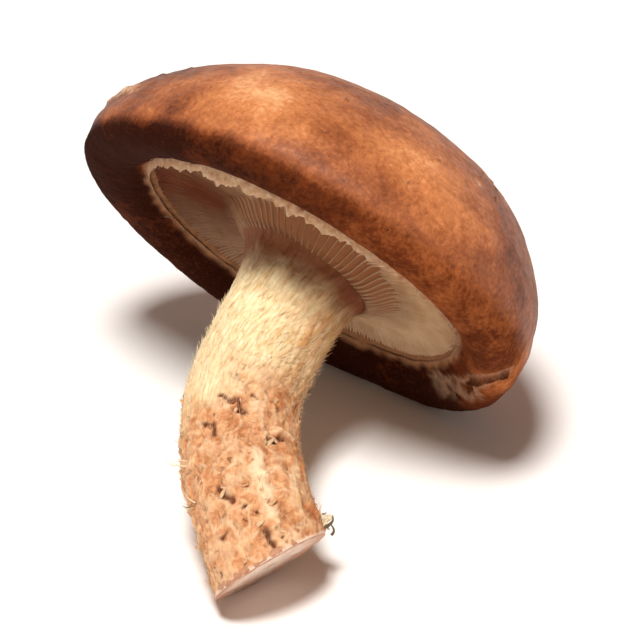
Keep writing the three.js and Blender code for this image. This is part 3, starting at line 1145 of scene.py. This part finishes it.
def veil_sheet(veil):
    """The sheet of felt round the lip, closed round its own section."""
    angle = round_turn(VEIL_COLUMNS)
    lip_radius, lip_height = lip(angle)
    ring = np.stack([20 * np.cos(angle), 20 * np.sin(angle), 0 * angle], -1)
    full = bump(angle_gap(angle, VEIL_SIDE), 1.15)
    ragged = 0.35 * noise(ring, 2.6, 91) + 0.2 * noise(ring, 1.0, 92) + 0.14 * noise(ring, 0.5, 96)
    hang = np.maximum(0.12 + VEIL_HANG * full * (1 + ragged) + 0.2 * ragged, 0.04)
    thick = 0.1 + 0.14 * full + 0.05 * noise(ring, 1.1, 93)
    rows = [(*place, 0.5) for place in VEIL_SECTION]
    rows += [(*VEIL_EDGE, 0.0)] + [(*place, -0.5) for place in VEIL_SECTION[::-1]]
    block = []
    for down, inward, side in rows:
        wave = 0.12 * full * noise(ring * (1 + 0.1 * down), 0.9, 94)
        radius = lip_radius - inward * (0.4 + hang) + side * thick * (1.2 - 0.7 * max(down, 0)) + wave
        block.append(around(radius, lip_height - down * hang, angle))
    flat = np.concatenate(block)
    faces = np.array(ring_faces(len(rows) + 1, VEIL_COLUMNS)) % len(flat)
    veil.add(flat, faces[:, [0, 3, 2, 1]].tolist(), ridge=np.tile(0.15 + 0.85 * full, len(rows)))


def make_veil():
    rng = np.random.default_rng(37)
    veil = Strands()
    veil_sheet(veil)
    u = np.linspace(0, 1, 5)[:, None]
    down = np.array((0, 0, -1.0))
    for _ in range(VEIL_HAIRS):
        turn = radians(VEIL_SIDE) + rng.normal(0, 0.9) if rng.uniform() < 0.65 else rng.uniform(0, 2 * pi)
        near = bump(angle_gap(turn, VEIL_SIDE), 0.95)
        radius, height = lip(turn)
        start = around(radius + rng.normal(0, 0.2), height + rng.uniform(-0.25, 0.25), turn)
        inward = -np.array((cos(turn), sin(turn), 0))
        sideways = np.array((-sin(turn), cos(turn), 0))
        reach = rng.uniform(0.3, 1.1)
        move = rng.normal(0, 0.9) * sideways * u + inward * u * rng.uniform(-0.2, 1.0)
        start = start + down * near * rng.uniform(0, 1.3) + inward * 0.3 * near
        drop = down * rng.uniform(-0.4, 0.8) * u**1.5
        veil.hair(start + reach * (move + drop), rng.uniform(0.03, 0.06), ridge=0.2 + 0.8 * near)
    veil.build("veil", "veil", VEIL)


make_cap()
make_gills()
make_veil()
stem_edge = make_stem()
make_strands()
make_tip_shred()
make_cut(stem_edge)

# ---- Floor, light and camera.

FLOOR_COLUMNS = 96
FLOOR_FLAT = 3.0
FLOOR_WALL = 1.4
KEY_STRENGTH = 4.0
KEY_ANGLE = 15
KEY_FROM = (-0.11, -0.36, 1.0)
KEY_COLOUR = (1.0, 0.975, 0.94)
FILL_STRENGTH = 0.15
FILL_COLOUR = (1, 0.62, 0.47, 1)
CAMERA_ELEVATION = 33
CAMERA_DISTANCE = 1.2
SENSOR_WIDTH = 36
FRAME_WIDTH = 0.0731
AIM = (0.0011, -0.0017, -0.0026)  # from the middle of the CAD box


def make_floor():
    """A pale table that curves up into a backdrop far behind, all the way round."""
    bend = np.linspace(0, pi / 2, 14)[1:]
    radius = np.concatenate([[0.3, 0.8, 1.6, FLOOR_FLAT], FLOOR_FLAT + FLOOR_WALL * np.sin(bend)])
    height = np.concatenate([[0, 0, 0, 0], FLOOR_WALL * (1 - np.cos(bend))])
    turns = round_turn(FLOOR_COLUMNS)
    rings = [[(r * cos(turn), r * sin(turn), h) for turn in turns] for r, h in zip(radius, height)]
    flat = np.concatenate([*rings, [[0, 0, 0]]])
    finish = Finish("floor", 0.7, 0.2)
    cloudy = finish.noise(finish.node("NewGeometry", {}).outputs["Position"], 30, 3)
    finish.base = finish.ramp(cloudy, (0.3, (0.88, 0.86, 0.845, 1)), (0.7, (0.9, 0.885, 0.87, 1)))
    faces = ring_faces(len(radius), FLOOR_COLUMNS) + fan(len(flat) - 1, 0, FLOOR_COLUMNS, False)
    add_object("floor", smooth_mesh("floor", flat, faces, finish.done()))


def make_lights():
    key = bpy.data.lights.new("key", "SUN")
    key.energy = KEY_STRENGTH
    key.angle = radians(KEY_ANGLE)
    key.color = KEY_COLOUR
    add_object("key", key).rotation_euler = Vector(KEY_FROM).to_track_quat("Z", "Y").to_euler()
    world = bpy.data.worlds.new("studio")
    world.use_nodes = True
    background = world.node_tree.nodes["Background"]
    background.inputs["Color"].default_value = FILL_COLOUR
    background.inputs["Strength"].default_value = FILL_STRENGTH
    bpy.context.scene.world = world


def make_camera():
    elevation = radians(CAMERA_ELEVATION)
    back = Vector((0, -cos(elevation), sin(elevation)))
    camera = bpy.data.cameras.new("camera")
    camera.sensor_width = SENSOR_WIDTH
    camera.lens = SENSOR_WIDTH * CAMERA_DISTANCE / FRAME_WIDTH
    camera.clip_end = 20
    middle = (Vector(cad_low) + Vector(cad_high)) / 2
    holder = add_object("camera", camera)
    holder.location = middle + Vector(AIM) + back * CAMERA_DISTANCE
    holder.rotation_euler = back.to_track_quat("Z", "Y").to_euler()
    bpy.context.scene.camera = holder


make_floor()
make_lights()
make_camera()
bpy.context.scene.view_settings.view_transform = "Standard"
